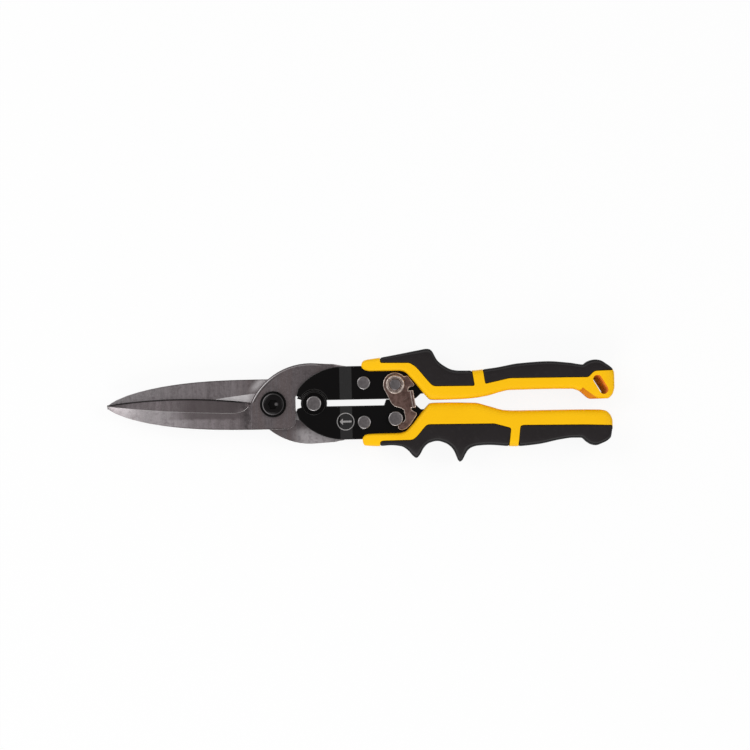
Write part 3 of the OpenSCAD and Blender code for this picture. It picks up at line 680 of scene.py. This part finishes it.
upperGrip = {
    "side": 1, "core": "upper_grip_core", "guardsFrom": 40.0,
    "outer": [
        (-0.7, 22.3), (0, 24.1), (1.7, 25), (10, 26.2), (24, 28.6), (34, 30.4), (38, 31), (39.9, 30.6),
        (41.5, 29), (42.9, 26.1), (44.3, 23.9), (47.7, 21), (52.8, 18.4), (57.3, 17.8), (64.6, 17.7),
        (78, 19), (92, 21.4), (109, 22.3), (122, 21.2), (130.3, 20), (131.4, 21.1), (134.4, 22.4),
        (137, 22.8), (139.9, 22.4), (143.7, 20.2), (147, 17.5), (148, 15.5),
    ],
    "inner": [
        (-0.7, 21.2), (0.2, 19.7), (1.7, 18.9), (4, 18.4), (22, 18.3), (25, 17.4), (28, 14.3), (37, 3.2),
        (39.5, 0.9), (43, 0.7), (56, 0.9), (63, 1.3), (72, 2.6), (81, 4.8), (86, 5.7), (109, 5.9), (123, 5.7),
        (127, 4.6), (134, -0.4), (144, -0.3), (147, 2.4), (148, 5.5),
    ],
    "pads": [
        {
            "node": "upper_front_pad", "from": 10.4, "to": 65.7, "lean": 0.15,
            "edge": [(10.4, 23.15), (27.8, 22.85), (31.4, 20.4), (40.1, 9.9), (41.8, 8.85), (65.7, 8.65)],
        },
        {
            "node": "upper_rear_pad", "from": 71.9, "to": 147.3, "lean": 0.155,
            "edge": [(71.9, 9.65), (86.5, 12.75), (133.1, 12.5), (134.4, 14.3), (136.6, 16.1), (149, 16.4)],
        },
    ],
}
lowerGrip = {
    "side": -1, "core": "lower_grip_core", "guardsFrom": 26.0,
    "outer": [
        (-0.7, 22.6), (-0.4, 23.9), (0.1, 25), (0.8, 25.4), (3, 25.6), (8, 25.9), (16, 25.5), (22, 26.2),
        (26.3, 29), (28.5, 31.7), (30.8, 33.3), (33, 31.3), (35.2, 27.4), (38.4, 24.6), (43.2, 23.5),
        (48.2, 24.9), (51.8, 27.7), (54, 31.5), (55, 34.5), (56.3, 36), (57.9, 35), (59.1, 32.8),
        (60.8, 29.8), (63.1, 27.8), (67, 26.7), (73, 26.4), (91, 27.5), (102, 26.6), (116, 23.9),
        (122.9, 23.1), (128.1, 23.2), (131.1, 25.6), (133.9, 27.3), (136.6, 27.8), (139.9, 26.8),
        (145.4, 23.4), (146.5, 18.5),
    ],
    "inner": [
        (-0.7, 21), (-0.2, 20), (0.5, 19.2), (2.5, 18.6), (7, 18.4), (21, 18.3), (24.5, 17.4), (28, 14.2),
        (36.5, 3.8), (39.5, 1.1), (43, 0.9), (66, 1.4), (73, 3.2), (83, 6.1), (88, 6.4), (122.5, 6.5),
        (139.5, 6.8), (143, 7.5), (145.5, 10), (146.5, 12.5),
    ],
    "pads": [
        {
            "node": "lower_front_pad", "from": 9.6, "to": 86.7, "lean": 0.115,
            "edge": [
                (9.6, 23.1), (11.2, 22.6), (28.6, 22.4), (30.9, 20.9), (36.8, 13.9), (38.2, 13.45),
                (77, 13.7), (86.7, 16.5),
            ],
        },
        {
            "node": "lower_rear_pad", "from": 92.1, "to": 146.4, "lean": 0.115,
            "edge": [(92.1, 15.7), (93.2, 14.9), (130, 15.3), (148, 16)],
        },
    ],
}
gripSize = {
    "nose": 53.0, "half": 10.0, "thick": 2.2, "corner": 0.9, "gap": 0.07, "padLip": 1.3, "leanReach": 14.0,
    "square": 0.4, "squareInside": 0.32, "guardSlope": 0.045,
    "noseThinned": [(-0.7, 5.0), (3, 3.5), (22, 0.0)],  # how much thinner, by distance from the nose
    "endThinned": [(-6, 0.0), (-1, 0.8), (0, 2.5)],  # and by distance from the end
    "noseRings": [-0.7, -0.5, -0.2, 0.3, 0.8, 1.5, 2.5, 4, 6, 8], "step": 0.9, "endStep": 0.2,
    "cornerShares": [0.0, 0.05, 0.15, 0.3, 0.55], "corePoints": 28, "padPoints": 28, "lipPoints": 6,
    "lipShare": 0.45, "lipLeast": 0.01, "edgeMost": 0.999, "crease": 50, "cutCrease": 28,
}
tailPocket = {"half": 3.4, "within": 0.01, "outline": [(50, 5.5), (98, 5.5), (98, 12), (86, 21), (50, 21)]}
lanyardSlot = {
    "at": (193, 8.1, 10), "slant": -59, "tilt": -11.5, "width": 5.0, "length": 12.2,
    "cutDepth": 80, "segments": 48, "rim": 0.3, "rimSegments": 4, "clear": 0.34, "onWall": 0.02, "near": 20.0,
    "wide": 3.3, "long": 7.2, "fade": 0.8, "deep": (0, -16),  # how far its colour reaches
    "slopeFrom": (182.5, 6.8), "slopeTo": (191.5, -0.4), "slopeStart": (-1, 0.5), "slopeEnd": (1, -1),
    "slopeTurn": 35, "slopeDrop": 0.5,
}


def halfThick(d, length):
    g = gripSize
    thinned = g["noseThinned"] + [(length + back, by) for back, by in g["endThinned"]]
    return g["half"] - curveAt(thinned, d)


def section(grip, d, inset=0.0):
    high = curveAt(grip["outer"], d) - inset
    low = curveAt(grip["inner"], d) + inset
    return low, high, halfThick(d, grip["outer"][-1][0]) - inset, grip["guardsFrom"]


def squareness(share):
    # the half of a section that faces the other grip is the squarer one
    return gripSize["square"] if share > 0 else gripSize["squareInside"]


def profile(cut, angle):
    # a point of the rounded section, from the outer edge round by the front face; finger guards thin outwards
    low, high, half, guardsFrom = cut
    exponent = squareness(math.cos(angle))
    across = (low + high) / 2 + power(math.cos(angle), exponent) * (high - low) / 2
    thin = 1 - gripSize["guardSlope"] * max(0.0, across - guardsFrom)
    return across, power(math.sin(angle), exponent) * half * thin


def edgeAngle(cut, across):
    low, high = cut[:2]
    most = gripSize["edgeMost"]
    share = max(-most, min(most, (across - (low + high) / 2) / ((high - low) / 2)))
    return math.acos(power(share, 1 / squareness(share)))


def arcOf(cut, start, end, count):
    return [profile(cut, start + (end - start) * i / (count - 1)) for i in range(count)]


def padEdge(pad, d):
    # the pad's inner edge, with rounded corners at its two ends
    r = gripSize["corner"]
    d = min(max(d, pad["from"]), pad["to"])
    across = lineAt(pad["edge"], d)
    for run in (d - pad["from"], pad["to"] - d):
        if run < r:
            across += r - math.sqrt(r * r - (r - run) ** 2)
    return across


def stations(start, end, step):
    count = max(2, round((end - start) / step))
    return [start + (end - start) * i / count for i in range(count + 1)]


def padStations(pad):
    # close together round the corners
    r = gripSize["corner"]
    ends = [r * share for share in gripSize["cornerShares"]]
    inner = stations(pad["from"] + r, pad["to"] - r, gripSize["step"])
    return [pad["from"] + e for e in ends] + inner + [pad["to"] - e for e in ends[::-1]]


def leanAt(grip, d):
    # rings lean near the yellow band between the two pads
    first, second = grip["pads"]
    reach = gripSize["leanReach"]
    points = [
        (first["to"] - reach, 0.0), (first["to"], first["lean"]), (second["from"], second["lean"]),
        (second["from"] + reach, 0.0),
    ]
    if not points[0][0] < d < points[-1][0]:
        return 0.0
    i = span(points, d)
    return points[i][1] + slope(points, i) * (d - points[i][0])


def gripRing(grip, d, points, across):
    nose = gripSize["nose"]
    return [place(nose + d - leanAt(grip, d) * (a - across), grip["side"] * a, z) for a, z in points]


def padRing(grip, pad, d):
    g = gripSize
    across = padEdge(pad, d) + g["gap"]
    lip = min(g["padLip"], max(g["lipLeast"], (curveAt(grip["outer"], d) - across) * g["lipShare"]))
    reach = min(lip, d - pad["from"], pad["to"] - d)
    cut = section(grip, d, lip - math.sqrt(lip**2 - (lip - reach) ** 2))  # rounded off at the two ends
    under = section(grip, d, g["thick"])
    top, low = edgeAngle(cut, across + lip), edgeAngle(under, across)
    face = arcOf(cut, top, -top, g["padPoints"])
    turns = [math.pi / 2 * i / g["lipPoints"] for i in range(g["lipPoints"], 0, -1)]
    edge = [(across + lip * (1 - math.sin(t)), face[0][1] - lip * (1 - math.cos(t))) for t in turns]
    back = [(a, -z) for a, z in edge[::-1]]
    points = edge + face + back + arcOf(under, -low, low, g["padPoints"] + 2 * g["lipPoints"])
    return gripRing(grip, d, points, across)


def closedRing(ring):
    # a pad's end closes on the line half way between its face and its underside
    return [(face + under) / 2 for face, under in zip(ring, ring[::-1])]


def coreRing(grip, d, pad):
    # the core's ring, recessed where a pad lies on it
    g = gripSize
    first, second = grip["pads"]
    cut = section(grip, d)
    if pad:
        across = padEdge(pad, d) - g["gap"]
        under = section(grip, d, g["thick"] + g["gap"])
    else:
        share = min(1.0, max(0.0, (d - first["to"]) / (second["from"] - first["to"])))
        across = padEdge(first, d) * (1 - share) + padEdge(second, d) * share - g["gap"]
        under = cut
    top, low = edgeAngle(cut, across), edgeAngle(under, across)
    points = arcOf(cut, top, 2 * math.pi - top, g["corePoints"]) + arcOf(under, -low, low, g["padPoints"])
    return gripRing(grip, d, points, across)


def makePad(grip, pad, material):
    shape = bmesh.new()
    rings = [padRing(grip, pad, d) for d in padStations(pad)]
    loft(shape, [closedRing(rings[0]), *rings, closedRing(rings[-1])])
    smooth(shape)
    piece = made(pad["node"] + "_finished", shape, [material], bodyOf[pad["node"]])
    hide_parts(pad["node"])


def makeCore(grip, material):
    g = gripSize
    first, second = grip["pads"]
    length = grip["outer"][-1][0]
    bare = [
        [*g["noseRings"], first["from"] - g["gap"]],
        stations(first["to"] + g["gap"], second["from"] - g["gap"], g["step"]),
        stations(second["to"] + g["gap"], length, g["endStep"]),
    ]
    rings = [coreRing(grip, d, None) for d in bare[0]]
    for pad, after in zip(grip["pads"], bare[1:]):
        rings += [coreRing(grip, d, pad) for d in padStations(pad)]
        rings += [coreRing(grip, d, None) for d in after]
    shape = bmesh.new()
    loft(shape, rings)
    smooth(shape, sharpEdges(shape, g["crease"]))
    piece = made(grip["core"] + "_finished", shape, [material], bodyOf[grip["core"]])
    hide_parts(grip["core"])
    return piece


def slotSeat():
    s = lanyardSlot
    slant = Matrix.Rotation(math.radians(s["slant"]), 4, "Z")
    tilt = Matrix.Rotation(math.radians(s["tilt"]), 4, "X")
    return Matrix.Translation(place(*s["at"])) @ slant @ tilt


def fromSlot(point):
    # millimetres outside the slot's wall
    at = slotSeat().inverted() @ point / mm
    run = (lanyardSlot["length"] - lanyardSlot["width"]) / 2
    return math.hypot(max(0.0, abs(at.x) - run), at.y) - lanyardSlot["width"] / 2


def slotPeg(shape):
    s = lanyardSlot
    half = s["width"] / 2 * mm
    run = (s["length"] - s["width"]) / 2 * mm
    bmesh.ops.create_cone(
        shape, cap_ends=True, segments=s["segments"], radius1=half, radius2=half, depth=s["cutDepth"] * mm,
    )
    for vert in shape.verts:
        vert.co.x += math.copysign(run, vert.co.x)
    bmesh.ops.transform(shape, matrix=slotSeat(), verts=shape.verts)


def slopeBlock(shape, side):
    s = lanyardSlot
    start, end = Vector(s["slopeFrom"]), Vector(s["slopeTo"])
    size = (end - start).length * mm
    heading = math.atan2(end.y - start.y, end.x - start.x)
    block = bmesh.ops.create_cube(shape, size=size)["verts"]
    turn = Matrix.Rotation(heading, 4, "Z") @ Matrix.Rotation(math.radians(side * s["slopeTurn"]), 4, "X")
    seat = Matrix.Translation(place(*start, side * (gripSize["half"] - s["slopeDrop"])))
    shift = Matrix.Translation((size / 2, -size / 2, side * size / 2))
    bmesh.ops.transform(shape, matrix=seat @ turn @ shift, verts=block)


def lanyardCutter():
    # slanted slot through the end lobe, and the sloped faces of its inner corner
    shape = bmesh.new()
    slotPeg(shape)
    for side in (1, -1):
        slopeBlock(shape, side)
    return made("lanyardCutter", shape, [])


def pocketCutter(side):
    # the hollow between a channel's walls, where a blade's tail swings
    half = tailPocket["half"]
    shape = bmesh.new()
    shape.faces.new([shape.verts.new(place(x, side * y, -half)) for x, y in tailPocket["outline"]])
    top = bmesh.ops.extrude_face_region(shape, geom=shape.faces[:])["geom"]
    raised = [item for item in top if isinstance(item, bmesh.types.BMVert)]
    bmesh.ops.translate(shape, verts=raised, vec=(0, 0, 2 * half * mm))
    bmesh.ops.recalc_face_normals(shape, faces=shape.faces)
    return made("pocketCutter", shape, [])


def carve(piece, cutter):
    cut = piece.modifiers.new("carve", "BOOLEAN")
    cut.object = cutter
    cut.solver = "EXACT"
    bpy.context.view_layer.update()
    result = bpy.data.meshes.new_from_object(piece.evaluated_get(bpy.context.evaluated_depsgraph_get()))
    piece.modifiers.remove(cut)
    bpy.data.objects.remove(cutter)
    shape = bmesh.new()
    shape.from_mesh(result)
    bpy.data.meshes.remove(result)
    mergeSlivers(shape)
    clearSpares(shape)
    return shape


def carveSlot(piece):
    # the slot's rim is rounded, after the points beside it are cleared away
    s = lanyardSlot
    shape = carve(piece, lanyardCutter())
    beside = [vert for vert in shape.verts if s["onWall"] < fromSlot(vert.co) < s["clear"]]
    bmesh.ops.dissolve_verts(shape, verts=beside)
    clearSpares(shape)
    centre = place(*s["at"])
    near = [
        edge for edge in sharpEdges(shape, gripSize["cutCrease"])
        if all((vert.co - centre).xy.length < s["near"] * mm for vert in edge.verts)
    ]
    rim = [edge for edge in near if all(abs(fromSlot(vert.co)) < s["onWall"] for vert in edge.verts)]
    smooth(shape, [edge for edge in near if edge not in rim])
    bmesh.ops.bevel(
        shape, geom=rim, offset=s["rim"] * mm, offset_type="OFFSET", affect="EDGES",
        segments=s["rimSegments"], profile=0.5, material=-1,
    )
    smooth(shape)
    shape.to_mesh(piece.data)
    shape.free()


def carvePocket(piece, side):
    shape = carve(piece, pocketCutter(side))
    reach = tailPocket["half"] + tailPocket["within"]
    for edge in sharpEdges(shape, gripSize["cutCrease"]):
        if all(abs(spot(vert.co).z) < reach for vert in edge.verts):
            edge.smooth = False
    shape.to_mesh(piece.data)
    shape.free()


yellowLook = {
    "deep": (0.95, 0.5, 0.001), "bright": (1.0, 0.56, 0.002), "pale": (1.0, 0.62, 0.006),
    "side": (0.93, 0.45, 0.003), "slope": (0.7, 0.22, 0.003), "hollow": (0.92, 0.29, 0.025),
    "hollowDeep": (1.0, 0.75, 0.25), "rough": 0.44, "depth": 0.012, "gloss": 0.12,
    "grain": (2.6, 2), "cloud": (0.05, 3), "spark": 2.2,
}
rubberLook = {
    "dark": (0.0128, 0.0104, 0.0109), "light": (0.0186, 0.0152, 0.0159), "dust": (0.03, 0.0265, 0.0275),
    "shine": (0.042, 0.039, 0.04), "side": (0.001, 0.0009, 0.001), "rough": 0.55, "depth": 0.03,
    "gloss": 0.14, "grain": (2.4, 3), "cloud": (0.07, 4), "dusting": (0.45, 5), "pebble": 1.7,
    "shoulder": ((0.1, 0.26), (0.42, 0.32)), "sideFrom": (0.34, 0.48),  # by steepness
}
rubber = softRubber("softRubber", rubberLook)
cores = {
    grip["core"]: makeCore(grip, mouldedYellow(grip["core"] + "Yellow", yellowLook, slot))
    for grip, slot in ((upperGrip, lanyardSlot), (lowerGrip, None))
}
carveSlot(cores["upper_grip_core"])
for grip in (upperGrip, lowerGrip):
    carvePocket(cores[grip["core"]], grip["side"])
    for pad in grip["pads"]:
        makePad(grip, pad, rubber)
print("grips made:", [len(core.data.polygons) for core in cores.values()], "faces in the cores")


# Handle spring: a coil on the hub's spacer, its legs reaching out towards the two handles

spring = {
    "wire": 1.0, "gap": 0.45, "slope": 17, "leg": 15.5, "clear": 0.5, "turns": 2,
    "points": 96, "legShares": (1.0, 0.5, 0.12), "roundness": 4, "merge": 0.0001,
    "dark": (0.3, 0.3, 0.3), "light": (0.55, 0.55, 0.54), "rough": 0.25, "depth": 0.01,
    "streak": (1.5, 3, (1, 1, 6)),
}


def springPath(hub, coil):
    s = spring
    rise = math.radians(s["slope"])
    turns = s["turns"] + (180 - 2 * s["slope"]) / 360
    pitch = s["wire"] + s["gap"]
    path = []
    for i in range(s["points"] + 1):
        t = turns * i / s["points"]
        a = math.pi / 2 + rise + 2 * math.pi * t
        path.append(hub + Vector((coil * math.cos(a), coil * math.sin(a), (turns / 2 - t) * pitch)))
    legs = [
        [start + s["leg"] * t * Vector((math.cos(rise), side * math.sin(rise), 0)) for t in s["legShares"]]
        for start, side in ((path[0], 1), (path[-1], -1))
    ]
    return legs[0] + path + legs[1][::-1]


def makeSpring():
    hub = jointAt["handle_swing"]
    low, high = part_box("hub_spacer")
    coil = (high.x - low.x) / 2 / mm + spring["clear"] + spring["wire"] / 2
    path = springPath(spot(hub), coil)
    line = bpy.data.curves.new("springLine", "CURVE")
    line.dimensions = "3D"
    line.bevel_depth = spring["wire"] / 2 * mm
    line.bevel_resolution = spring["roundness"]
    line.use_fill_caps = True
    spline = line.splines.new("POLY")
    spline.points.add(len(path) - 1)
    for point, p in zip(spline.points, path):
        point.co = (*place(*p), 1.0)
    holder = bpy.data.objects.new("springLine", line)
    mesh = bpy.data.meshes.new_from_object(holder)
    bpy.data.objects.remove(holder)
    shape = bmesh.new()
    shape.from_mesh(mesh)
    bmesh.ops.remove_doubles(shape, verts=shape.verts, dist=spring["merge"] * mm)
    bmesh.ops.recalc_face_normals(shape, faces=shape.faces)
    smooth(shape)
    piece = made("handle_spring_finished", shape, [drawnWire("drawnWire", spring)], None)
    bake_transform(piece)
    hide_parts("handle_spring")


makeSpring()
print("spring made")


# Round mark on the lower plate: a ring with a plain arrow towards the jaws, following the joggle

mark = {
    "at": (42.5, -11.0), "radius": 5.2, "segments": 72, "rim": 0.5, "proud": 0.1, "shaft": 0.55, "head": 1.9,
    "reach": 3.5, "step": 0.6, "merge": 0.02, "above": 50,
    "light": (0.36, 0.35, 0.345), "dark": (0.2, 0.19, 0.19), "under": (0.02, 0.02, 0.02),
    "rough": 0.4, "metal": 0.5, "depth": 0.008, "grain": (1.6, 3), "chips": (0.9, 4),
}


def markFaces(shape):
    # the ring and the arrow, flat, cut into strips that can follow the joggle
    m = mark
    bmesh.ops.create_circle(shape, segments=m["segments"], radius=m["radius"], cap_ends=True)
    bmesh.ops.inset_region(
        shape, faces=shape.faces[:], thickness=m["rim"], use_boundary=True, use_even_offset=True,
    )
    disc = max(shape.faces, key=lambda face: len(face.verts))
    bmesh.ops.delete(shape, geom=[disc], context="FACES_ONLY")
    r, s, h = m["reach"], m["shaft"], m["head"]
    arrow = [(-r, 0), (-r + h, -h), (-r + h, -s), (r, -s), (r, s), (-r + h, s), (-r + h, h)]
    shape.faces.new([shape.verts.new((x, y, 0)) for x, y in arrow])
    count = math.ceil(m["radius"] / m["step"])
    for i in range(-count, count + 1):
        geom = [*shape.verts, *shape.edges, *shape.faces]
        bmesh.ops.bisect_plane(shape, geom=geom, plane_co=(i * m["step"], 0, 0), plane_no=(1, 0, 0))
    bmesh.ops.remove_doubles(shape, verts=shape.verts, dist=m["merge"])
    bmesh.ops.dissolve_degenerate(shape, edges=shape.edges, dist=m["merge"])
    bmesh.ops.recalc_face_normals(shape, faces=shape.faces)


def makeMark():
    m = mark
    shape = bmesh.new()
    markFaces(shape)
    top = bmesh.ops.extrude_face_region(shape, geom=shape.faces[:])["geom"]
    raised = {item for item in top if isinstance(item, bmesh.types.BMVert)}
    solid = bmesh.new()
    solid.from_mesh(nodes["lower_channel"].data)
    plate = BVHTree.FromBMesh(solid)
    solid.free()
    for vert in shape.verts:
        above = place(m["at"][0] + vert.co.x, m["at"][1] + vert.co.y, m["above"])
        face = plate.ray_cast(above, Vector((0, 0, -1)))[0]
        vert.co = face + Vector((0, 0, m["proud"] * mm if vert in raised else -m["proud"] * mm))
    bmesh.ops.recalc_face_normals(shape, faces=shape.faces)
    made("plate_mark", shape, [printedMark("printedMark", mark)], "lower_handle")


makeMark()
print("mark made")


# Stage: pale floor, soft lamps at the sides, camera straight above

stageLook = {
    "floor": (0.92, 0.92, 0.92), "floorRough": 0.9, "floorDrop": 0.2, "reach": 20.0, "whiteShare": 0.9,
    "white": (1.0, 1.0, 1.0), "sky": 0.3,
    "centre": (60.3, 16.1), "width": 442.5, "roll": -1.1, "height": 2600, "sensor": 36, "clipEnd": 60,
}
lamps = [
    {"name": "leftSoftbox", "from": (-0.9, 0.6, 0.85), "size": 1.0, "level": 0.28},
    {"name": "rightSoftbox", "from": (0.8, 0.15, 1.0), "size": 0.8, "level": 0.22},
    {"name": "frontSoftbox", "from": (-0.25, -1.15, 0.8), "size": 0.9, "level": 0.29},
]


def makeFloor():
    p = paint("paleFloor")
    surface = p.tree.nodes["Principled BSDF"]
    p.feed(surface.inputs["Base Color"], colour(stageLook["floor"]))
    p.feed(surface.inputs["Roughness"], stageLook["floorRough"])
    rays = ("Is Camera Ray", "Is Glossy Ray", "Is Transmission Ray")
    camera, glossy, through = [p.add("ShaderNodeLightPath", out=ray) for ray in rays]
    seen = camera.most(glossy).most(through)
    glow = p.add("ShaderNodeEmission", {}, {"Color": colour(stageLook["white"]), "Strength": 1.0})
    values = {0: seen * stageLook["whiteShare"], 1: Sock(p, surface.outputs[0]), 2: glow}
    p.feed(p.tree.nodes["Material Output"].inputs["Surface"], p.add("ShaderNodeMixShader", {}, values))
    shape = bmesh.new()
    bmesh.ops.create_grid(shape, x_segments=1, y_segments=1, size=stageLook["reach"])
    bmesh.ops.translate(shape, verts=shape.verts, vec=(0, 0, -stageLook["floorDrop"] * mm))
    made("floor", shape, [p.holder])


def makeSky():
    sky = bpy.data.worlds.new("sky")
    bpy.context.scene.world = sky
    p = Paint(sky)
    p.feed(p.tree.nodes["Background"].inputs["Color"], colour(stageLook["white"]))
    p.feed(p.tree.nodes["Background"].inputs["Strength"], stageLook["sky"])


def makeLamp(lamp):
    away = Vector(lamp["from"])
    light = bpy.data.lights.new(lamp["name"], "AREA")
    light.size = lamp["size"]
    # power that lights an upward face to the level given
    light.energy = lamp["level"] * math.pi**2 * away.length_squared / (away.z / away.length)
    holder = bpy.data.objects.new(lamp["name"], light)
    holder.location = away
    holder.rotation_euler = (-away).to_track_quat("-Z", "Y").to_euler()
    bpy.context.scene.collection.objects.link(holder)


def makeCamera():
    s = stageLook
    lens = bpy.data.cameras.new("camera")
    lens.sensor_width = s["sensor"]
    lens.lens = s["sensor"] * s["height"] / s["width"]
    lens.clip_end = s["clipEnd"]
    holder = bpy.data.objects.new("camera", lens)
    holder.location = place(*s["centre"], s["height"])
    holder.rotation_euler = (0, 0, math.radians(s["roll"]))
    bpy.context.scene.collection.objects.link(holder)
    bpy.context.scene.camera = holder


makeFloor()
makeSky()
for lamp in lamps:
    makeLamp(lamp)
makeCamera()
bpy.context.scene.view_settings.view_transform = "Standard"
print("stage ready")

bpy.context.view_layer.update()
